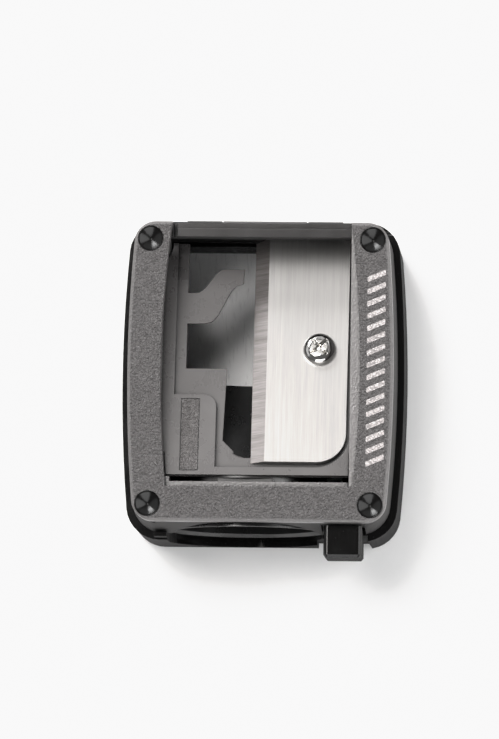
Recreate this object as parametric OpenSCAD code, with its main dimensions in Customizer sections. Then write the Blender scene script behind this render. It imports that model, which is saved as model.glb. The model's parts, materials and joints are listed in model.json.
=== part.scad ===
// Sharpener for thick cosmetic pencils, with a hinged shavings tray.
// The tray stands on the table. The head (frame, housing, core, blade) opens upwards about the
// rear hinge, and the cleaning stick pulls out of the head at the front.
// +Z is up, -Y is the side where the pencil goes in. The origin is under the middle of the
// whole object, stick included. Each sub-part is drawn about the centre of the top frame and
// placed() moves it into that frame.

/* [Overall] */
// Height from the table to the top of the frame
total_h = 21; // [20.5:0.1:22]
// Height of the parting line between tray and housing
parting_z = 13; // [12.5:0.1:13.2]

/* [Top frame] */
// Thickness of the textured top frame
frame_t = 2.3; // [2:0.1:2.6]
// Half of the frame's width at its middle
frame_half_w = 15.3; // [15:0.1:15.5]
// Distance from the frame's centre to its rear edge
frame_half_l = 17.1; // [16.9:0.1:17.2]
// Distance from the frame's centre to its front edge
frame_front = 17.45; // [17.3:0.05:17.5]
// How far the sides bow outwards
frame_bow = 0.85; // [0.5:0.05:1]
// Half of the opening's width at its middle
opening_half_w = 11.5; // [11.2:0.1:11.6]
// How much narrower the opening is at its ends
opening_bow = 1.15; // [0.8:0.05:1.3]
// Distance from the frame's centre to the opening's front edge
opening_front = 13.45; // [13.3:0.05:13.6]

/* [Tray] */
// Half of the tray's width at its rim
tray_half_w = 16.3; // [16.1:0.1:16.5]
// Front of the tray's rim
tray_front = 19.1; // [19:0.1:19.3]
// Rear of the tray's rim
tray_rear = 17.9; // [17.9:0.1:18.1]
// Draft of the tray's walls from rim to base
tray_draft = 0.1; // [0.1:0.05:0.4]
// Wall thickness of the tray
tray_wall = 1.2; // [1:0.1:1.3]
// Floor thickness of the tray
tray_floor = 0.75; // [0.6:0.05:0.8]

/* [Deck and blade] */
// Slope of the deck down to the rear, equal to half of the pencil cone's angle
slope = 16; // [15.8:0.1:16.2]
// Depth of the blade pocket
pocket_d = 0.7; // [0.6:0.05:0.8]
// Blade width
blade_w = 10.95; // [10.8:0.05:11]
// Blade length
blade_l = 27.6; // [27.2:0.1:27.7]
// Blade thickness
blade_t = 0.8; // [0.7:0.05:0.9]
// Width of the ground bevel
bevel_w = 1.6; // [1.4:0.1:1.8]

/* [Pencil barrel] */
// Radius of the pencil entry
bore_r = 8.1; // [8:0.05:8.2]
// Outer radius of the barrel
barrel_r = 9; // [8.9:0.05:9.05]
// Sideways place of the pencil's axis
bore_x = -1.7; // [-1.8:0.05:-1.6]
// Height of the pencil's axis
bore_z = 10; // [9.95:0.05:10.05]

/* [Fasteners and hinge] */
// Radius of the blade screw's head
screw_head_r = 1.9; // [1.8:0.05:2]
// Radius of the assembly pins' conical heads
pin_head_r = 1.5; // [1.4:0.05:1.55]
// Radius of the hinge pin
hinge_pin_r = 0.5; // [0.45:0.05:0.5]

/* [Cleaning stick] */
// Width of the stick's handle
stick_w = 4.4; // [4.2:0.1:4.4]
// How far the handle stands out from the frame's centre
stick_reach = 21.3; // [21:0.1:21.5]

/* [Hidden] */
$fn = 64;

// Shift that puts the origin under the middle of the whole object
y_shift = (stick_reach - tray_rear) / 2;
thin = 0.01;
far = 60;

// Heights
frame_z = total_h - frame_t;
edge_chamfer = 0.4;

// Ledge inside the frame's front rail, and the smooth border of its right rail
ledge_x = [-10.4, 10.25];
ledge_w = 0.6;
ledge_drop = 0.8;
border_x = 10.35;
border_drop = 0.2;

// Assembly pins
pin_x = 12.8;
pin_y = [-15.5, 15.1];
pin_shank_r = 0.9;
pin_l = 7;
hollow_d = 0.8;
post_r = 2;

// Deck plane: the pocket floor passes this height where y is 0
floor_z0 = 15.27;
deck_t = 1.6;
deck_front = -12.15;
deck_rear = 15.45;
core_half_w = 13;
pocket_front = -11.06;
pocket_left = -10.1;
pocket_right = 10.3;
step_x = -5.2;
step_y = -2.5;

// Shallow recess for the textured patch on the raised platform
patch_x = [-9.25, -7.1];
patch_y = [-12.2, -3.3];
patch_d = 0.15;

// Pencil cone: it stands a little above the pocket floor, so that the blade's edge bites into it
cone_bite = 0.12;
cone_start = (floor_z0 + cone_bite - bore_z - bore_r) / tan(slope);
cone_end_r = 0.8;
cone_end = cone_start + (bore_r - cone_end_r) / tan(slope);
barrel_front = -17.9;
barrel_rear = -0.5;
mouth_chamfer = 0.35;
barrel_gap = 0.15;

// Groove behind the barrel's front ring, and a flat on its top below the gap in front of the deck
groove_y = [-17.7, -17.2];
groove_r = 8.55;
groove_z = 13.4;
flat_x = 4;
flat_y = [-12.95, -12.3];
flat_z = 18.45;

// Blade
blade_x = -1.1;
blade_front = -10.64;
blade_corner_r = 3.4;

// Blade screw, measured along the deck's normal
screw_x = 6.55;
screw_y = 2.6;
screw_head_h = 1.3;
screw_shank_r = 1.1;
screw_l = 5;
pilot_r = 1;
boss_r = 2.1;
boss_l = 5.6;

// Rear hinge, on the parting line
hinge_y = tray_rear - 1;
knuckle_r = 1;
knuckle_gap = 0.15;
head_knuckle = 4.8;
tray_knuckle = [5, 9];
hinge_play = 0.05;

// Cleaning stick and its guide
stick_x = 9.6;
stick_z = [11.4, 18.4];
stick_back = [-18.85, -17.65];
web_y = [-20.2, -18.95];
stem_x = [9.2, 11.2];
stem_z = [8.9, 10.1];
stem_tip = 11;
stem_gap = 0.15;

// Finger plate and notch at the front of the tray
plate_x = [-12.3, 6.1];
plate_top = 15.2;
notch_x = [6.1, 12.3];
notch_face = -18.4;

// Clear bottom plate, let into the tray's floor from above
bottom_x = 12.6;
bottom_y = [-14.6, 16.1];
bottom_t = 0.4;
bottom_ledge = 0.7;
bottom_gap = 0.04;

// Housing
housing_wall = 1.3;
housing_notch_face = -17.5;
bar_inner = 15.55;
bar_t = 1.6;
bar_left = -9.8;
bar_step_y = 16.5;
bar_step = 0.25;
bar_end_d = 0.9;
locator_h = 1.2;
tongue_t = 1;
tongue_x = tray_half_w - tray_wall - tray_draft - 0.85;

// Points of a rectangle with round corners and bowed sides, by formula
corner_steps = 8;
side_steps = 10;
function bowed(p, half_w, bow, yc, h) =
    [p.x + sign(p.x) * bow * (1 - pow((p.y - yc) / h, 2)) * min(1, abs(p.x) / half_w), p.y];
function corner_arc(cx, cy, r, start) =
    [for (i = [0:corner_steps]) let (a = start + 90 * i / corner_steps) [cx + r * cos(a), cy + r * sin(a)]];
function side_points(x, y0, y1) =
    [for (i = [1:side_steps - 1]) [x, y0 + (y1 - y0) * i / side_steps]];
function plain_outline(w, y0, y1, r) = concat(
    corner_arc(w - r, y0 + r, r, -90),
    side_points(w, y0 + r, y1 - r),
    corner_arc(w - r, y1 - r, r, 0),
    corner_arc(-w + r, y1 - r, r, 90),
    side_points(-w, y1 - r, y0 + r),
    corner_arc(-w + r, y0 + r, r, 180));
function outline_points(mid_w, bow, y0, y1, r) =
    [for (p = plain_outline(mid_w - bow, y0, y1, r)) bowed(p, mid_w - bow, bow, (y0 + y1) / 2, (y1 - y0) / 2)];

module outline(mid_w, bow, y0, y1, r) {
    polygon(outline_points(mid_w, bow, y0, y1, r));
}

module placed() {
    translate([0, y_shift, 0]) children();
}

// Puts children on the pocket floor plane: z is its normal, y runs down the slope from y = 0
module on_deck() {
    translate([0, 0, floor_z0]) rotate([-slope, 0, 0]) children();
}

// Cylinder along Y
module bar_y(r, y0, y1) {
    translate([0, y0, 0]) rotate([-90, 0, 0]) cylinder(h = y1 - y0, r = r);
}

// Cylinder along X on the hinge axis
module bar_x(r, x0, x1) {
    translate([x0, hinge_y, parting_z]) rotate([0, 90, 0]) cylinder(h = x1 - x0, r = r);
}

module block(x, y, z) {
    translate([x[0], y[0], z[0]]) cube([x[1] - x[0], y[1] - y[0], z[1] - z[0]]);
}

module slab(z0, h) {
    translate([0, 0, z0]) linear_extrude(h) children();
}

module at_pins() {
    for (x = [-pin_x, pin_x], y = pin_y) translate([x, y, 0]) children();
}

// Space around the barrel, open upwards so that the head can lift out
module barrel_slot(y0, y1) {
    r = barrel_r + barrel_gap;
    translate([bore_x, 0, bore_z]) bar_y(r, y0, y1);
    block([bore_x - r, bore_x + r], [y0, y1], [bore_z, far]);
}

// Wedge of air behind the hinge axis that lets the head swing up
module hinge_wedge() {
    translate([-far / 2, hinge_y, parting_z]) rotate([90, 0, 90])
        linear_extrude(far) polygon([[0, 0], [3, 3], [3, -3]]);
}

// ---- Top frame ----
module frame_outline(inset) {
    outline(frame_half_w - inset, frame_bow, -frame_front + inset, frame_half_l - inset, 2.2 - inset);
}

// The opening: bowed sides, open at the rear
opening_steps = 16;
function opening_half(y) = opening_half_w - opening_bow * pow(y / frame_half_l, 2);
function opening_side(s, from, to) = [for (i = [0:opening_steps])
    let (y = from + (to - from) * i / opening_steps) [s * opening_half(y), y]];
opening_rear = opening_half(frame_half_l) - 0.05;
module opening_shape(front) {
    polygon(concat(
        opening_side(1, front, frame_half_l + 1),
        opening_side(-1, frame_half_l + 1, front)));
}

module top_frame() {
    color([0.22, 0.22, 0.23]) placed() difference() {
        hull() {
            slab(frame_z, thin) frame_outline(0);
            slab(total_h - edge_chamfer, thin) frame_outline(0);
            slab(total_h - thin, thin) frame_outline(edge_chamfer);
        }
        difference() {
            slab(frame_z - 1, frame_t + 2) opening_shape(-opening_front);
            // smooth lower ledge along the opening's front edge, and a rib at its left end
            block(ledge_x, [-far, -opening_front + ledge_w], [frame_z, total_h - ledge_drop]);
            block([-far, ledge_x[0] + 0.05], [-far, deck_front - barrel_gap], [frame_z, total_h - ledge_drop]);
            block([border_x, far], [-far, far], [frame_z, total_h - border_drop]);
        }
        translate([bore_x, 0, bore_z]) bar_y(barrel_r + barrel_gap, -20, -10);
        at_pins() {
            translate([0, 0, frame_z - 1]) cylinder(h = far, r = pin_shank_r);
            translate([0, 0, total_h - pin_head_r]) cylinder(h = pin_head_r + 0.2, r = pin_head_r);
        }
    }
}

// ---- Assembly pins: a round head with a conical hollow on a plain shank ----
module corner_pins() {
    color([0.1, 0.1, 0.11]) placed() at_pins() translate([0, 0, total_h])
        rotate_extrude() polygon([
            [0, -pin_l], [pin_shank_r, -pin_l], [pin_shank_r, -pin_head_r], [pin_head_r, -pin_head_r],
            [pin_head_r, -0.02], [pin_head_r - 0.06, -0.02], [0.1, -hollow_d], [0, -hollow_d]]);
}

// ---- Upper housing ----
module housing_outline_low(inset) {
    outline(tray_half_w - 0.75 - inset, 1, -tray_front + 0.75 + inset, tray_rear - 0.5 - inset, 3.2 - inset);
}

module housing_skin() {
    hull() {
        slab(parting_z + 0.05, thin) housing_outline_low(0);
        slab(frame_z - thin, thin) frame_outline(0);
    }
}

// Ledges that carry the core's edges, parallel to the deck
module core_ledges() {
    intersection() {
        slab(parting_z + 0.05, frame_z - parting_z - 0.05) housing_outline_low(housing_wall / 2);
        on_deck() for (s = [-1, 1])
            translate([s * (core_half_w + 0.2) - 1.2, -far / 2, -deck_t + pocket_d - 1.3]) cube([2.4, far, 1.2]);
    }
}

module upper_housing() {
    color([0.2, 0.2, 0.21]) placed() difference() {
        union() {
            difference() {
                housing_skin();
                slab(parting_z - 1, frame_z - parting_z + 2) intersection() {
                    frame_outline(housing_wall);
                    translate([-far / 2, -far]) square([far, far + bar_inner + 0.7]);
                }
            }
            // thicker rear bar, level with the underside of the frame
            intersection() {
                housing_skin();
                block([-far, far], [bar_inner, far], [frame_z - bar_t, frame_z]);
            }
            intersection() {
                housing_skin();
                at_pins() translate([0, 0, parting_z]) cylinder(h = frame_z - parting_z, r = post_r);
            }
            core_ledges();
            bar_x(knuckle_r, -head_knuckle, head_knuckle);
            block([-head_knuckle, head_knuckle], [hinge_y - knuckle_r, hinge_y], [parting_z, parting_z + 2]);
            // tongues that locate the head on the tray
            for (s = [-1, 1])
                translate([s * tongue_x - tongue_t / 2, -6, parting_z - locator_h])
                    cube([tongue_t, 10, locator_h + 1.5]);
        }
        at_pins() translate([0, 0, parting_z - 1]) cylinder(h = far, r = pin_shank_r);
        translate([bore_x, 0, bore_z]) bar_y(barrel_r + barrel_gap, -20, -10);
        difference() {
            hinge_wedge();
            bar_x(knuckle_r, -head_knuckle, head_knuckle);
        }
        for (x = [-tray_knuckle[1] - knuckle_gap, head_knuckle])
            bar_x(knuckle_r + knuckle_gap, x, x + tray_knuckle[1] + knuckle_gap - head_knuckle);
        bar_x(hinge_pin_r + hinge_play, -far / 2, far / 2);
        // lower outer strip of the rear bar, and the gap at its left end
        block([-opening_rear, opening_rear], [bar_step_y, far], [frame_z - bar_step, far]);
        block([-opening_rear, bar_left], [bar_inner - 1, far], [frame_z - bar_end_d, far]);
        // notch for the cleaning stick's handle
        block([stick_x - stick_w / 2 - 0.3, stick_x + stick_w / 2 + 0.3], [-far, housing_notch_face], [0, frame_z + 1]);
    }
}

// ---- Sharpener core ----
// Recess that takes the blade and the windows
module pocket_shape() {
    r = 1.4;
    corner_r = 4;
    translate([step_x, pocket_front]) square([pocket_right - step_x - corner_r, far]);
    translate([step_x, pocket_front + corner_r]) square([pocket_right - step_x, far]);
    translate([pocket_right - corner_r, pocket_front + corner_r]) circle(corner_r);
    translate([pocket_left, step_y]) square([step_x - pocket_left + 1, far]);
    // rounds the corner of the raised platform
    difference() {
        translate([step_x - r, step_y - r]) square([r, r]);
        translate([step_x - r, step_y - r]) circle(r);
    }
}

// Rear window: its front edge is an S-curve
s_steps = 12;
function s_curve(x0, y0, x1, y1) = [for (i = [0:s_steps])
    let (t = i / s_steps) [x0 + (x1 - x0) * t, y0 + (y1 - y0) * (3 * t * t - 2 * t * t * t)]];
window_left = -8.85;
window_right = 1.2;

module rear_window() {
    polygon(concat(
        [[window_left, far], [window_left, 9.6]],
        s_curve(-7.8, 9.6, -4.7, 12.45),
        [[window_right, 12.45], [window_right, far]]));
}

// Middle window, with the narrower opening of the pencil cone in front of it
module front_window() {
    polygon([
        [window_right, -9.95], [window_right, 10.7], [-2.4, 10.7], [-3.3, 10.45],
        [-3.9, 9.8], [-5.3, 7.0], [-6.0, 6.2], [-6.8, 5.97], [window_left, 5.97],
        [window_left, 0.6], [-4.1, 0.6], [-4.4, -7.9], [-2.7, -9.6], [-1.9, -9.95]]);
}

module pencil_space() {
    translate([bore_x, 0, bore_z]) {
        bar_y(bore_r, barrel_front - 1, cone_start);
        translate([0, cone_start - thin, 0]) rotate([-90, 0, 0])
            cylinder(h = cone_end - cone_start + thin, r1 = bore_r, r2 = cone_end_r);
        translate([0, barrel_front - thin, 0]) rotate([-90, 0, 0])
            cylinder(h = mouth_chamfer + thin, r1 = bore_r + mouth_chamfer, r2 = bore_r);
    }
}

module barrel() {
    translate([bore_x, 0, bore_z]) {
        bar_y(barrel_r, barrel_front, cone_start);
        translate([0, cone_start, 0]) rotate([-90, 0, 0])
            cylinder(h = barrel_rear - cone_start, r1 = barrel_r,
                     r2 = barrel_r - (barrel_rear - cone_start) * tan(slope));
    }
}

module ring_groove() {
    difference() {
        block([-far, far], groove_y, [groove_z, far]);
        translate([bore_x, 0, bore_z]) bar_y(groove_r, groove_y[0] - 1, groove_y[1] + 1);
    }
}

// Deck slab with upright cheeks that reach up to the frame's underside
module deck_slab() {
    intersection() {
        on_deck() translate([-core_half_w, -far / 2, pocket_d - deck_t]) cube([2 * core_half_w, far, deck_t]);
        union() {
            block([-core_half_w, core_half_w], [deck_front, deck_rear], [0, frame_z - 0.05]);
            slab(frame_z - 1, frame_t) intersection() {
                offset(delta = -barrel_gap) opening_shape(deck_front);
                translate([-far / 2, deck_front]) square([far / 2 + border_x - barrel_gap, deck_rear - deck_front]);
            }
        }
    }
    cheek = core_half_w - opening_half_w - 0.1;
    for (s = [-1, 1]) intersection() {
        on_deck() translate([-core_half_w, -far / 2, 0]) cube([2 * core_half_w, far, far]);
        block([s * (core_half_w - cheek / 2) - cheek / 2, s * (core_half_w - cheek / 2) + cheek / 2],
              [deck_front + 1, deck_rear], [0, frame_z - 0.05]);
    }
}

module stick_guide() {
    block([2, stem_x[1] + 0.8], [-16.6, -12.6], [stem_z[0] - 0.8, stem_z[1] + 0.8]);
}

module sharpener_core() {
    color([0.17, 0.17, 0.18]) placed() difference() {
        union() {
            deck_slab();
            barrel();
            stick_guide();
            on_deck() translate([screw_x, screw_y / cos(slope), -boss_l]) cylinder(h = boss_l, r = boss_r);
        }
        pencil_space();
        ring_groove();
        block([bore_x - flat_x, bore_x + flat_x], flat_y, [flat_z, far]);
        on_deck() block(patch_x, patch_y, [pocket_d - patch_d, far]);
        // blade pocket
        intersection() {
            on_deck() translate([-far / 2, -far / 2, 0]) cube([far, far, far]);
            slab(0, far) pocket_shape();
        }
        slab(0, far) rear_window();
        slab(bore_z, far) front_window();
        on_deck() translate([screw_x, screw_y / cos(slope), -boss_l - 1]) cylinder(h = far, r = pilot_r);
        at_pins() cylinder(h = far, r = post_r + barrel_gap);
        block([stem_x[0] - stem_gap, stem_x[1] + stem_gap], [-20, stem_tip],
              [stem_z[0] - stem_gap, stem_z[1] + stem_gap]);
    }
}

// ---- Blade: bevel ground on the upper face, cutting edge on the lower left ----
module blade_shape() {
    y0 = blade_front / cos(slope);
    r = blade_corner_r;
    difference() {
        union() {
            translate([blade_x, y0 + r]) square([blade_w, blade_l - r]);
            translate([blade_x, y0]) square([blade_w - r, blade_l]);
            translate([blade_x + blade_w - r, y0 + r]) circle(r);
        }
        translate([blade_x - 0.01, y0 + blade_l - 0.45])
            polygon([[0, 0], [1.5, 0.46], [0, 0.46]]);
    }
}

module blade() {
    color([0.86, 0.85, 0.83]) placed() on_deck() difference() {
        linear_extrude(blade_t) blade_shape();
        translate([screw_x, screw_y / cos(slope), -1]) cylinder(h = 3, r = screw_shank_r + 0.1);
        translate([blade_x, -far / 2, 0]) rotate([-90, 0, 0])
            linear_extrude(far) polygon([[-1, 0.05], [-1, -2], [bevel_w, -2], [bevel_w, -blade_t], [0, -0.05]]);
    }
}

// ---- Blade screw: domed head, cross recess, threaded shank as a plain cylinder ----
module cross_recess() {
    for (a = [45, 135]) rotate([0, 0, a])
        rotate([90, 0, 0]) translate([0, 0, -0.22]) linear_extrude(0.44)
            polygon([[-1.25, 2], [-1.25, 0.95], [-0.3, 0.1], [0.3, 0.1], [1.25, 0.95], [1.25, 2]]);
}

// Pan head: short upright rim, round shoulder, nearly flat top
shoulder_steps = 10;
module pan_head() {
    flat_r = 0.75;
    rim_h = 0.35;
    rotate_extrude() polygon(concat(
        [[0, 0], [screw_head_r, 0]],
        [for (i = [0:shoulder_steps]) let (a = 90 * i / shoulder_steps)
            [flat_r + (screw_head_r - flat_r) * cos(a), rim_h + (screw_head_h - rim_h) * sin(a)]],
        [[0, screw_head_h]]));
}

module blade_screw() {
    color([0.8, 0.8, 0.8]) placed() on_deck() translate([screw_x, screw_y / cos(slope), blade_t]) {
        difference() {
            pan_head();
            cross_recess();
        }
        translate([0, 0, -screw_l]) cylinder(h = screw_l, r = pilot_r);
    }
}

// ---- Tray ----
module tray_outline(inset) {
    outline(tray_half_w - inset, 1, -tray_front + inset, tray_rear - inset, 3.5 - inset);
}

module tray_skin() {
    base_chamfer = 0.4;
    hull() {
        slab(parting_z - thin, thin) tray_outline(0);
        slab(base_chamfer, thin) tray_outline(tray_draft);
        slab(0, thin) tray_outline(tray_draft + base_chamfer);
    }
}

module tray_knuckles() {
    for (x = [-tray_knuckle[1], tray_knuckle[0]])
        bar_x(knuckle_r, x, x + tray_knuckle[1] - tray_knuckle[0]);
}

// Round-cornered rectangle of the clear bottom, made smaller by inset
module bottom_shape(inset) {
    outline(bottom_x - inset, 0, bottom_y[0] + inset, bottom_y[1] - inset, 2.4 - inset);
}

module tray() {
    color([0.07, 0.07, 0.08]) placed() difference() {
        union() {
            difference() {
                tray_skin();
                slab(tray_floor, far) tray_outline(tray_wall + tray_draft);
            }
            // plate beside the mouth, a little above the rim
            block(plate_x, [-tray_front + 0.25, -tray_front + 0.8], [tray_floor, plate_top]);
            tray_knuckles();
        }
        // opening in the floor, with a rebate for the clear bottom
        slab(-1, tray_floor + 2) bottom_shape(bottom_ledge);
        slab(tray_floor - bottom_t - bottom_gap, 2) bottom_shape(0);
        barrel_slot(-25, -12);
        // notch for the cleaning stick's handle, with an open slot for its stem
        block(notch_x, [-25, notch_face], [-1, far]);
        block([stem_x[0] - 0.25, stem_x[1] + 0.25], [-25, -14], [stem_z[0] - 0.3, far]);
        difference() {
            hinge_wedge();
            tray_knuckles();
        }
        bar_x(knuckle_r + knuckle_gap, -tray_knuckle[0], tray_knuckle[0]);
        bar_x(hinge_pin_r, -far / 2, far / 2);
    }
}

module clear_bottom() {
    color([0.85, 0.88, 0.9]) placed() slab(tray_floor - bottom_t, bottom_t) bottom_shape(bottom_gap);
}

module hinge_pin() {
    color([0.7, 0.7, 0.72]) placed() bar_x(hinge_pin_r, -tray_knuckle[1] + 0.1, tray_knuckle[1] - 0.1);
}

// ---- Cleaning stick: handle with a slanted back, and a flat stem with a wedge tip ----
module cleaning_stick() {
    r = 0.5;
    half = stick_w / 2;
    nose = 0.3;
    color([0.05, 0.05, 0.06]) placed() {
        translate([stick_x, 0, 0]) hull() for (x = [-half + r, half - r], top = [0, 1])
            translate([x, -stick_reach, top == 1 ? stick_z[1] - r : stick_z[0] + r]) rotate([-90, 0, 0]) {
                translate([0, 0, nose]) cylinder(h = stick_reach + stick_back[top] - nose, r = r, $fn = 24);
                cylinder(h = nose, r = r - 0.25, $fn = 24);
            }
        translate([stem_x[0], 0, 0]) rotate([90, 0, 90]) linear_extrude(stem_x[1] - stem_x[0])
            polygon([[web_y[0], stick_z[0] + 1], [web_y[0], stem_z[0]], [stem_tip - 4, stem_z[0]],
                     [stem_tip, stem_z[0] + 0.4], [stem_tip, stem_z[0] + 0.8], [stem_tip - 4, stem_z[1]],
                     [web_y[1], stem_z[1]], [web_y[1], stick_z[0] + 1]]);
    }
}

top_frame();
corner_pins();
upper_housing();
sharpener_core();
blade();
blade_screw();
tray();
clear_bottom();
hinge_pin();
cleaning_stick();
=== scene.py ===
"""Looks of the pencil sharpener: studio, camera, materials and the fine pieces on the CAD bodies."""

import json
import math

import bmesh
import bpy
from mathutils import Matrix, Vector


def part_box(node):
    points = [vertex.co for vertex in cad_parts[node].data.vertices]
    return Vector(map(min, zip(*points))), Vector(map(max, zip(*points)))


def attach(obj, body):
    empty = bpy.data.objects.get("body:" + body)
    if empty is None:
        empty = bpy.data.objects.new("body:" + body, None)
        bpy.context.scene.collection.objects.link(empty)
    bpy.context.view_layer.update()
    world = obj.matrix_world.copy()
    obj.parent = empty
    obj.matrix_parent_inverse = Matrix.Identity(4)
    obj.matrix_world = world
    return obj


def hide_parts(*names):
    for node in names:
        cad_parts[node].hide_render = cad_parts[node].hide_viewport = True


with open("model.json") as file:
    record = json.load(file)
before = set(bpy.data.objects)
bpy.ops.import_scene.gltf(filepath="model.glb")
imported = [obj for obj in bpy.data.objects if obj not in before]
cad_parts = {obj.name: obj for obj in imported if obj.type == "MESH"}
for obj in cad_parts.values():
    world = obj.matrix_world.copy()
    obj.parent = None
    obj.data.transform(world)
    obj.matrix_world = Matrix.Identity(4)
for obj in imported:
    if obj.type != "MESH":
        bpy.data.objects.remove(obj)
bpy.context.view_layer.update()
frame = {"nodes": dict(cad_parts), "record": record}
nodes = frame["nodes"]
MM = 0.001
DECK_SLOPE = math.radians(16)
# height of the blade pocket's floor where it passes the top frame's centre
DECK_FLOOR_Z = 15.27


# ---------------------------------------------------------------- places taken from the CAD
pin_low, pin_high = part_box("corner_pins")
# lengths below are about the top frame's centre, which is this far behind the middle of the four pins
CENTRE_BEHIND_PINS = 0.2
middle_y = (pin_low.y + pin_high.y) / 2 + CENTRE_BEHIND_PINS * MM
top_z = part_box("top_frame")[1].z
TOP = top_z / MM


def at(x, y, z):
    """A point in metres from millimetres about the top frame's centre, z up from the table."""
    return Vector((x * MM, middle_y + y * MM, z * MM))


def on_deck(x, y, z):
    """A point from millimetres on the pocket floor's plane: y down the slope, z along its normal."""
    c, s = math.cos(DECK_SLOPE), math.sin(DECK_SLOPE)
    return at(x, y * c + z * s, DECK_FLOOR_Z - y * s + z * c)


# ---------------------------------------------------------------- camera and studio
CAMERA_DISTANCE = 1.5
CAMERA_BACK = (0.0511, -0.0865, 0.995)
CAMERA_RIGHT = (0.99863, 0.0133, -0.0499)
CAMERA_TARGET = (-1.21, 0.02)
VIEW_HEIGHT = 84.9425
SENSOR = 36


def make_camera():
    """A long lens almost straight above, leaning a little to the front and to the right."""
    data = bpy.data.cameras.new("camera")
    cam = bpy.data.objects.new("camera", data)
    bpy.context.scene.collection.objects.link(cam)
    back = Vector(CAMERA_BACK).normalized()
    right = Vector(CAMERA_RIGHT)
    right = (right - back * right.dot(back)).normalized()
    turn = Matrix((right, back.cross(right), back)).transposed().to_4x4()
    cam.matrix_world = Matrix.Translation(at(*CAMERA_TARGET, TOP) + back * CAMERA_DISTANCE) @ turn
    data.sensor_width = SENSOR
    data.lens = SENSOR * CAMERA_DISTANCE / (VIEW_HEIGHT * MM)
    data.clip_start, data.clip_end = 0.01, 50
    bpy.context.scene.camera = cam


LIGHTS_AIM = Vector((0, 0, 0.01))
WARM_LIGHT = (1, 0.975, 0.955)


def softbox(name, direction, distance, size, radiance, colour=(1, 1, 1)):
    """A rectangular light in a direction from the object, turned towards it."""
    data = bpy.data.lights.new(name, "AREA")
    data.shape = "RECTANGLE"
    data.size, data.size_y = size
    data.energy = radiance * math.pi * size[0] * size[1]
    data.color = colour
    lamp = bpy.data.objects.new(name, data)
    bpy.context.scene.collection.objects.link(lamp)
    d = Vector(direction).normalized()
    lamp.location = LIGHTS_AIM + d * distance
    lamp.rotation_mode = "QUATERNION"
    lamp.rotation_quaternion = d.to_track_quat("Z", "Y")
    lamp.visible_camera = False


def make_lights():
    """Soft lights that leave free the direction which level faces mirror into the camera."""
    softbox("key", (-0.28, 0.27, 0.92), 0.8, (0.36, 0.32), 14, WARM_LIGHT)
    softbox("deck_light", (-0.05, 0.51, 0.86), 0.8, (0.46, 0.34), 1.0, WARM_LIGHT)
    softbox("low_rear", (-0.47, 0.77, 0.43), 0.9, (0.46, 0.20), 20)
    softbox("side_left", (-1, 0.1, 0.45), 0.9, (0.9, 0.45), 0.7)
    softbox("side_right", (1, 0.1, 0.6), 0.9, (0.9, 0.6), 3.2)
    softbox("side_front", (0.15, -1, 0.6), 0.9, (0.9, 0.55), 3.4)
    softbox("side_rear", (0.2, 1, 0.4), 0.9, (0.9, 0.40), 0.6)
    world = bpy.data.worlds.new("studio")
    bpy.context.scene.world = world
    world.use_nodes = True
    background = world.node_tree.nodes["Background"]
    background.inputs["Color"].default_value = (0.9, 0.9, 0.9, 1)
    background.inputs["Strength"].default_value = 0.17


# light in, light out: straight up to the light greys, then a shoulder that ends below full white
TONE_KNOTS = [(0.1, 0.1), (0.3, 0.3), (0.6, 0.6), (0.75, 0.76), (0.9, 0.90),
              (1.1, 0.938), (1.5, 0.944), (3, 0.946), (5, 0.97)]
TONE_WHITE = 8


def make_tone_curve():
    """A photographic shoulder, so that the paper's white is a little below full white."""
    view = bpy.context.scene.view_settings
    view.view_transform = "Standard"
    view.look = "None"
    view.use_curve_mapping = True
    mapping = view.curve_mapping
    mapping.white_level = (TONE_WHITE,) * 3
    for x, y in TONE_KNOTS:
        mapping.curves[3].points.new(x / TONE_WHITE, y)
    mapping.update()


def make_floor():
    """The sheet of white paper that the sharpener lies on."""
    mesh = bpy.data.meshes.new("floor")
    s = 4
    mesh.from_pydata([(-s, -s, 0), (s, -s, 0), (s, s, 0), (-s, s, 0)], [], [(0, 1, 2, 3)])
    floor = bpy.data.objects.new("floor", mesh)
    bpy.context.scene.collection.objects.link(floor)
    floor.data.materials.append(paper())


# ---------------------------------------------------------------- material helpers
SOCKETS = {"base": "Base Color", "roughness": "Roughness", "normal": "Normal",
           "specular": "Specular IOR Level", "alpha": "Alpha"}


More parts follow.
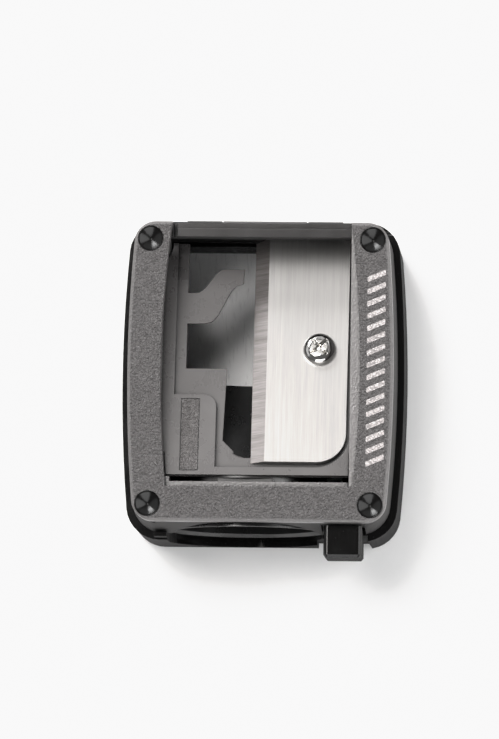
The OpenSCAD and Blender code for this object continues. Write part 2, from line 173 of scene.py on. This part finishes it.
class Nodes:
    """Short calls that add linked shader nodes to one material."""

    def __init__(self, mat):
        self.tree = mat.node_tree
        self.coords = self.add("ShaderNodeTexCoord").outputs["Object"]
        self.shader = self.tree.nodes["Principled BSDF"]

    def add(self, kind, inputs=None, **settings):
        node = self.tree.nodes.new(kind)
        for key, value in settings.items():
            setattr(node, key, value)
        for key, value in (inputs or {}).items():
            self.put(node.inputs[key], value)
        return node

    def put(self, socket, value):
        if isinstance(value, bpy.types.NodeSocket):
            self.tree.links.new(value, socket)
        else:
            socket.default_value = value

    def set(self, **values):
        for key, value in values.items():
            self.put(self.shader.inputs[SOCKETS[key]], value)

    def scaled(self, vector, scale, rotation=(0, 0, 0)):
        inputs = {"Vector": vector, "Scale": scale, "Rotation": rotation}
        return self.add("ShaderNodeMapping", inputs).outputs[0]

    def noise(self, vector, scale=1, detail=2, roughness=0.5, distortion=0):
        inputs = {"Vector": vector, "Scale": scale, "Detail": detail, "Roughness": roughness,
                  "Distortion": distortion}
        return self.add("ShaderNodeTexNoise", inputs).outputs["Fac"]

    def cells(self, vector, scale, smoothness=None):
        """Distance to the middle of the nearest cell."""
        if smoothness is None:
            node = self.add("ShaderNodeTexVoronoi", {"Vector": vector, "Scale": scale}, feature="F1")
        else:
            inputs = {"Vector": vector, "Scale": scale, "Smoothness": smoothness}
            node = self.add("ShaderNodeTexVoronoi", inputs, feature="SMOOTH_F1")
        return node.outputs["Distance"]

    def math(self, operation, a, b=0.5, c=0.5):
        node = self.add("ShaderNodeMath", operation=operation)
        for socket, value in zip(node.inputs, (a, b, c)):
            self.put(socket, value)
        return node.outputs[0]

    def times(self, a, b):
        return self.math("MULTIPLY", a, b)

    def plus(self, a, b):
        return self.math("ADD", a, b)

    def remap(self, value, low, high, to_low, to_high, smooth=False):
        inputs = {"Value": value, "From Min": low, "From Max": high, "To Min": to_low, "To Max": to_high}
        node = self.add("ShaderNodeMapRange", inputs)
        if smooth:
            node.interpolation_type = "SMOOTHSTEP"
        return node.outputs[0]

    def mix(self, factor, a, b):
        """A colour between a and b."""
        node = self.add("ShaderNodeMix", data_type="RGBA")
        self.put(node.inputs[0], factor)
        self.put(node.inputs[6], a)
        self.put(node.inputs[7], b)
        return node.outputs[2]

    def mix_value(self, factor, a, b):
        """A number between a and b."""
        node = self.add("ShaderNodeMix", data_type="FLOAT")
        self.put(node.inputs[0], factor)
        self.put(node.inputs[2], a)
        self.put(node.inputs[3], b)
        return node.outputs[0]

    def axis(self, vector, name):
        return self.add("ShaderNodeSeparateXYZ", {"Vector": vector}).outputs[name]

    def true_normal(self):
        return self.add("ShaderNodeNewGeometry").outputs["True Normal"]

    def bump(self, height, distance, strength=1.0, normal=None):
        node = self.add("ShaderNodeBump", {"Height": height, "Distance": distance, "Strength": strength})
        if normal is not None:
            self.put(node.inputs["Normal"], normal)
        return node.outputs[0]

    def warped(self, scale=700, distance=0.00012):
        """Object coordinates pushed about by noise, so that cells don't line up."""
        shake = self.add("ShaderNodeTexNoise", {"Vector": self.coords, "Scale": scale, "Detail": 1})
        inputs = {0: shake.outputs["Color"], 1: (distance,) * 3}
        pushed = self.add("ShaderNodeVectorMath", inputs, operation="MULTIPLY").outputs[0]
        return self.add("ShaderNodeVectorMath", {0: self.coords, 1: pushed}, operation="ADD").outputs[0]

    def upright(self):
        """One on upright faces, zero on level ones."""
        return self.remap(self.math("ABSOLUTE", self.axis(self.true_normal(), "Z")), 0.15, 0.45, 1, 0)

    def crevice_shade(self, distance=0.0008):
        """A mask for painted shade: one on open surfaces, falling to zero in corners and grooves."""
        open_sky = self.add("ShaderNodeAmbientOcclusion", {"Distance": distance}, samples=8).outputs["AO"]
        return self.remap(open_sky, 0.35, 0.95, 0, 1, smooth=True)

    def soft_edges(self, radius):
        """A normal that rounds sharp edges by a radius."""
        return self.add("ShaderNodeBevel", {"Radius": radius}, samples=6).outputs[0]


WARM = (1.0, 0.945, 0.94)
STEEL = (1, 0.985, 0.97)
ROSY = (1, 0.93, 0.91)


def grey(v, tint=(1, 1, 1)):
    return (v * tint[0], v * tint[1], v * tint[2], 1)


def material(name, roughness=0.5, metallic=0.0):
    mat = bpy.data.materials.new(name)
    mat.use_nodes = True
    shader = mat.node_tree.nodes["Principled BSDF"]
    shader.inputs["Roughness"].default_value = roughness
    shader.inputs["Metallic"].default_value = metallic
    return mat


# ---------------------------------------------------------------- materials
def paper():
    """White seamless paper."""
    mat = material("paper", roughness=0.7)
    n = Nodes(mat)
    fibres = n.noise(n.coords, 900, 3, 0.6)
    n.set(base=n.mix(fibres, grey(0.885), grey(0.915)), specular=0.1)
    return mat


# the mould texture fades in between these depths below the frame's top face
TEXTURE_FADE = (0.16, 0.06)


def textured_plastic(name, brightness=0.112, smooth_below=0.04):
    """Spark-eroded mould texture: rounded grains about a quarter of a millimetre across.

    Below the frame's top face only the share smooth_below of the relief is left.
    """
    mat = material(name)
    n = Nodes(mat)
    warped = n.warped()
    grains = n.cells(warped, 3900, 0.5)
    fine = n.noise(warped, 7500, 2, 0.6)
    broad = n.noise(n.coords, 1500, 2, 0.5)
    height = n.plus(n.times(grains, -1.1), n.math("MULTIPLY_ADD", fine, 0.6, n.times(broad, 0.8)))
    peaks = n.remap(height, -0.25, 0.55, 0, 1, smooth=True)
    fade_low, fade_high = (top_z - depth * MM for depth in TEXTURE_FADE)
    stamped = n.remap(n.axis(n.coords, "Z"), fade_low, fade_high, smooth_below, 1)
    # painted highlight and shade on the relief: the grain's peaks are painted lighter than its hollows
    tone = n.mix(peaks, grey(brightness * 0.88, WARM), grey(brightness * 1.12, WARM))
    # painted shade: the colour falls to near black in corners and grooves
    n.set(base=n.mix(n.crevice_shade(), grey(0.004), tone),
          roughness=n.remap(peaks, 0, 1, 0.42, 0.28), specular=0.9,
          normal=n.bump(n.times(height, stamped), 0.0005, 1.0, n.soft_edges(0.00014)))
    return mat


# painted shade in the bore starts between these depths below the blade pocket's floor
BORE_SHADE_DEPTHS = (1.4, 1.1)


def painted_bore_shade(n, tone, shade_colour):
    """Painted shade: the barrel and the cone darkened to near black everywhere below the deck."""
    place = n.add("ShaderNodeSeparateXYZ", {"Vector": n.coords})
    level = n.math("MULTIPLY_ADD", place.outputs["Y"], math.tan(DECK_SLOPE), place.outputs["Z"])
    deck_level = at(0, 0, DECK_FLOOR_Z).z + middle_y * math.tan(DECK_SLOPE)
    low, high = (deck_level - depth * MM for depth in BORE_SHADE_DEPTHS)
    return n.mix(n.remap(level, low, high, 1, 0), tone, shade_colour)


def smooth_plastic(name, base, roughness, grain=0.0, wall_roughness=None, specular=0.5, paint_bore_shade=False):
    """Moulded plastic with faint flow marks, a little dust and handling wear in its gloss."""
    mat = material(name)
    n = Nodes(mat)
    clouds = n.noise(n.coords, 330, 4, 0.6)
    gloss = n.remap(clouds, 0.3, 0.7, *roughness)
    if wall_roughness:
        walls = n.remap(clouds, 0.3, 0.7, wall_roughness, wall_roughness + 0.08)
        gloss = n.mix_value(n.upright(), gloss, walls)
    scuffs = n.noise(n.scaled(n.coords, (2600, 420, 900), (0.1, 0.2, 0.5)), 1, 3, 0.7, 0.6)
    wear = n.times(n.remap(scuffs, 0.55, 0.75, 0, 1), 0.025)
    flow = n.times(n.noise(n.coords, 700, 2, 0.5), 0.3)
    height = n.plus(flow, n.times(n.noise(n.coords, 9000, 2, 0.6), grain))
    tone = n.mix(clouds, grey(base * 0.85, WARM), grey(base * 1.15, WARM))
    # painted shade: the bore darkened to near black below the deck
    if paint_bore_shade:
        tone = painted_bore_shade(n, tone, grey(base * 0.05))
    dust = n.remap(n.cells(n.coords, 1500), 0.05, 0.09, 1, 0)
    tone = n.mix(n.times(dust, 0.12), tone, grey(0.2))
    # painted shade: the colour falls to near black in corners and grooves
    n.set(base=n.mix(n.crevice_shade(), grey(0.002), tone),
          roughness=n.plus(gloss, wear), specular=specular,
          normal=n.bump(height, 0.00001, 0.5, n.soft_edges(0.00008)))
    return mat


# how the strokes of the bevel's grinding lean away from straight across, in radians
GRIND_LEAN = 0.10


def blade_steel():
    """Ground strip steel: brushed along its length, with the bevel ground across."""
    mat = material("blade_steel", metallic=0.75)
    n = Nodes(mat)
    along = n.scaled(n.coords, (1, 1, 1), (DECK_SLOPE, 0, 0))
    lines = n.noise(n.scaled(along, (16000, 260, 900)), 1, 3, 0.65)
    wide_lines = n.noise(n.scaled(along, (2600, 60, 300)), 1, 2, 0.5)
    cross = n.noise(n.scaled(along, (300, 9000, 500), (0, 0, GRIND_LEAN)), 1, 3, 0.7)
    wide_cross = n.noise(n.scaled(along, (150, 1900, 300), (0, 0, GRIND_LEAN)), 1, 2, 0.5)
    bevel = n.remap(n.axis(n.true_normal(), "X"), -0.25, -0.2, 1, 0)
    grind = n.mix_value(bevel, n.math("MULTIPLY_ADD", wide_lines, 0.6, lines),
                        n.math("MULTIPLY_ADD", wide_cross, 0.8, cross))
    tone = n.mix(n.remap(grind, 0.55, 1.05, 0, 1), grey(0.345, STEEL), grey(0.41, STEEL))
    tone_bevel = n.mix(n.remap(grind, 0.6, 1.2, 0, 1), grey(0.19, ROSY), grey(0.36, ROSY))
    n.set(base=n.mix(bevel, tone, tone_bevel),
          roughness=n.mix_value(bevel, n.remap(grind, 0.5, 1.1, 0.34, 0.40), 0.36),
          normal=n.bump(grind, 0.0000022, 1.0, n.soft_edges(0.00004)))
    return mat


def chrome():
    """Bright plating with a little haze and a few scratches."""
    mat = material("chrome", metallic=1.0)
    n = Nodes(mat)
    haze = n.noise(n.coords, 2200, 3, 0.6)
    scratches = n.noise(n.scaled(n.coords, (9000, 900, 3000), (0.3, 0.2, 0.9)), 1, 2, 0.6)
    n.set(base=grey(0.62, (1, 0.985, 0.96)),
          roughness=n.plus(n.remap(haze, 0.3, 0.7, 0.05, 0.13),
                           n.times(n.remap(scratches, 0.6, 0.8, 0, 1), 0.1)),
          normal=n.bump(haze, 0.000035, 0.8, n.soft_edges(0.00006)))
    return mat


def foil_silver():
    """Hot-stamped silver foil, thin enough to be as rough as the texture below it."""
    mat = material("foil_silver", metallic=0.85)
    n = Nodes(mat)
    warped = n.warped()
    grains = n.cells(warped, 4000, 0.6)
    height = n.math("MULTIPLY_ADD", n.noise(warped, 7000, 3, 0.65), 0.7, n.times(grains, -1.0))
    n.set(base=n.mix(n.remap(height, -0.3, 0.2, 0, 1), grey(0.34, WARM), grey(0.62, WARM)),
          roughness=n.remap(height, -0.3, 0.3, 0.55, 0.38),
          normal=n.bump(height, 0.00012))
    return mat


def pin_steel():
    """Drawn wire."""
    mat = material("pin_steel", metallic=1.0)
    n = Nodes(mat)
    draw = n.noise(n.scaled(n.coords, (300, 12000, 12000)), 1, 2, 0.6)
    n.set(base=grey(0.58), roughness=n.remap(draw, 0.3, 0.7, 0.25, 0.4),
          normal=n.bump(draw, 0.000003, 0.7))
    return mat


def clear_plastic():
    """Clear plate: mostly see-through, with the gloss of plastic and a few rub marks from shavings."""
    mat = material("clear_plastic")
    n = Nodes(mat)
    rubs = n.noise(n.scaled(n.coords, (1800, 300, 1), (0, 0, 0.6)), 1, 4, 0.7, 0.8)
    n.set(base=(0.93, 0.94, 0.95, 1), alpha=n.remap(rubs, 0.55, 0.8, 0.06, 0.20),
          roughness=n.remap(rubs, 0.4, 0.8, 0.06, 0.22))
    return mat


# ---------------------------------------------------------------- fine pieces
ROUNDING_STEPS = 4


def round_corners(corners, r, steps=6):
    """A convex polygon with each corner replaced by an arc of radius r."""
    points = []
    for i, p in enumerate(corners):
        p = Vector(p)
        a = (Vector(corners[i - 1]) - p).normalized()
        b = (Vector(corners[(i + 1) % len(corners)]) - p).normalized()
        half = a.angle(b) / 2
        centre = p + (a + b).normalized() * (r / math.sin(half))
        start = p + a * (r / math.tan(half)) - centre
        end = p + b * (r / math.tan(half)) - centre
        turn = start.angle_signed(end)
        for k in range(steps + 1):
            c, s = math.cos(-turn * k / steps), math.sin(-turn * k / steps)
            points.append(centre + Vector((start.x * c - start.y * s, start.x * s + start.y * c)))
    return points


def make_object(name, bm):
    """An object from a bmesh, linked to the scene."""
    bmesh.ops.recalc_face_normals(bm, faces=bm.faces)
    mesh = bpy.data.meshes.new(name)
    bm.to_mesh(mesh)
    bm.free()
    obj = bpy.data.objects.new(name, mesh)
    bpy.context.scene.collection.objects.link(obj)
    return obj


def join_rings(bm, low, high):
    """Faces between two rings of vertices; a ring of one vertex is a tip."""
    count = max(len(low), len(high))
    for k in range(count):
        n = (k + 1) % count
        corners = [low[k % len(low)], low[n % len(low)], high[n % len(high)], high[k % len(high)]]
        bm.faces.new(list(dict.fromkeys(corners)))


def plates(name, outlines, z0, z1, place, round_top):
    """Thin plates with rounded upper edges, one per outline, as one mesh."""
    levels = [(0, z0)]
    for k in range(ROUNDING_STEPS + 1):
        a = math.pi / 2 * k / ROUNDING_STEPS
        levels.append((round_top * (1 - math.cos(a)), z1 - round_top + round_top * math.sin(a)))
    bm = bmesh.new()
    for outline in outlines:
        middle = sum(outline, Vector((0, 0))) / len(outline)
        rings = []
        for inset, z in levels:
            inner = [p + (middle - p).normalized() * inset for p in outline]
            rings.append([bm.verts.new(place(q.x, q.y, z)) for q in inner])
        for low, high in zip(rings, rings[1:]):
            join_rings(bm, low, high)
        bm.faces.new(rings[-1])
        bm.faces.new(rings[0][::-1])
    obj = make_object(name, bm)
    for polygon in obj.data.polygons:
        polygon.use_smooth = len(polygon.vertices) == 4
    return obj


def finish_piece(obj, body, mat):
    obj.data.materials.append(mat)
    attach(obj, body)


PATCH_X, PATCH_Y = (-9.25, -7.1), (-12.2, -3.3)
PATCH_GAP = 0.09
PATCH_FLOOR, PATCH_TOP = 0.55, 0.68


def make_patch(mat):
    """The textured patch in its shallow recess on the raised platform."""
    x0, x1 = PATCH_X[0] + PATCH_GAP, PATCH_X[1] - PATCH_GAP
    y0, y1 = PATCH_Y[0] + PATCH_GAP, PATCH_Y[1] - PATCH_GAP
    outline = round_corners([(x0, y0), (x1, y0), (x1, y1), (x0, y1)], 0.2)
    patch = plates("deck_patch", [outline], PATCH_FLOOR - 0.02, PATCH_TOP, on_deck, 0.05)
    finish_piece(patch, "head", mat)


PIN_SEGMENTS = 72
PIN_HEAD_R, PIN_HEAD_L = 1.5, 1.5
PIN_SHANK_R, PIN_L = 0.9, 7.0
PIN_CHAMFER = 0.15
PIN_PLAY = 0.01
# the rim's rounding has its centre this far below the frame's top
PIN_RIM_R, PIN_RIM_DROP = 0.05, 0.07
HOLLOW_DEPTH, HOLLOW_FLOOR_R, HOLLOW_BULGE = 0.72, 0.14, 0.05
# radius and height of the last two points, which close the hollow's floor
HOLLOW_FLOOR = [(0.10, -0.81), (0, -0.83)]
PIN_X = pin_high.x / MM - PIN_HEAD_R
PIN_Y = ((pin_low.y - middle_y) / MM + PIN_HEAD_R, (pin_high.y - middle_y) / MM - PIN_HEAD_R)


def pin_profile():
    """Radius and height of the pin's half section, from the shank's end up over the rim into the hollow."""
    head_r = PIN_HEAD_R - PIN_PLAY
    points = [(0, -PIN_L), (PIN_SHANK_R - PIN_CHAMFER, -PIN_L), (PIN_SHANK_R, PIN_CHAMFER - PIN_L),
              (PIN_SHANK_R, -PIN_HEAD_L), (head_r, -PIN_HEAD_L), (head_r, -PIN_RIM_DROP - 0.02)]
    for k in range(7):
        a = math.pi * k / 6
        points.append((head_r - PIN_RIM_R * (1 - math.cos(a)), PIN_RIM_R * math.sin(a) - PIN_RIM_DROP))
    wall_top = head_r - 2 * PIN_RIM_R
    for k in range(1, 9):
        t = k / 9
        points.append((wall_top * (1 - t) + HOLLOW_FLOOR_R * t,
                       -PIN_RIM_DROP - HOLLOW_DEPTH * t - HOLLOW_BULGE * math.sin(math.pi * t)))
    return points + HOLLOW_FLOOR


def make_pins(mat):
    """The four pins with their hollow heads, turned finely enough for clean highlights."""
    bm = bmesh.new()
    for x in (-PIN_X, PIN_X):
        for y in PIN_Y:
            rings = []
            for r, z in pin_profile():
                count = PIN_SEGMENTS if r else 1
                angles = [2 * math.pi * k / count for k in range(count)]
                spots = [at(x + r * math.cos(a), y + r * math.sin(a), TOP + z) for a in angles]
                rings.append([bm.verts.new(spot) for spot in spots])
            for low, high in zip(rings, rings[1:]):
                join_rings(bm, low, high)
    pins = make_object("hollow_pins", bm)
    pins.data.shade_smooth()
    pins.data.set_sharp_from_angle(angle=math.radians(50))
    finish_piece(pins, "head", mat)
    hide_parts("corner_pins")


FOIL_X, FOIL_Y = 13.3, (-11.1, 11.4)
FOIL_W, FOIL_BAR, FOIL_GAP, FOIL_SLANT = 2.1, 0.62, 0.80, 0.9
FOIL_SUNK, FOIL_PROUD = 0.02, 0.014


def make_foil(mat):
    """Generic stamped pattern on the right rail: a row of slanted silver bars."""
    pitch = FOIL_BAR + FOIL_GAP
    left, right = FOIL_X - FOIL_W / 2, FOIL_X + FOIL_W / 2
    bars = []
    for i in range(int((FOIL_Y[1] - FOIL_Y[0] + FOIL_GAP) / pitch)):
        y = FOIL_Y[0] + i * pitch
        corners = [(left, y), (right, y + FOIL_SLANT), (right, y + FOIL_SLANT + FOIL_BAR), (left, y + FOIL_BAR)]
        bars.append(round_corners(corners, 0.12, 4))
    foil = plates("foil_bars", bars, TOP - FOIL_SUNK, TOP + FOIL_PROUD, at, 0.012)
    finish_piece(foil, "head", mat)


# ---------------------------------------------------------------- build
make_camera()
make_floor()
make_lights()
make_tone_curve()

materials = {
    "textured_plastic": textured_plastic("textured_plastic"),
    "satin_plastic": smooth_plastic(
        "satin_plastic", 0.022, (0.16, 0.20), grain=0.1, wall_roughness=0.8),
    "gloss_plastic": smooth_plastic(
        "gloss_plastic", 0.003, (0.10, 0.16), wall_roughness=0.85, specular=0.3),
    "blade_steel": blade_steel(),
    "chrome": chrome(),
    "pin_steel": pin_steel(),
    "clear_plastic": clear_plastic(),
}
for part in frame["record"]["subparts"]:
    for slot in nodes[part["node"]].material_slots:
        slot.material = materials[part["material_slot"]]
# the core's deck is duller and lighter than the housing's walls, and its bore is darkened with painted shade
nodes["sharpener_core"].material_slots[0].material = smooth_plastic(
    "core_plastic", 0.080, (0.26, 0.30), grain=0.25, wall_roughness=0.7, specular=0.8, paint_bore_shade=True)
make_patch(textured_plastic("patch_plastic", 0.17, smooth_below=1.0))
make_pins(smooth_plastic("pin_plastic", 0.004, (0.20, 0.24), specular=0.3))
make_foil(foil_silver())
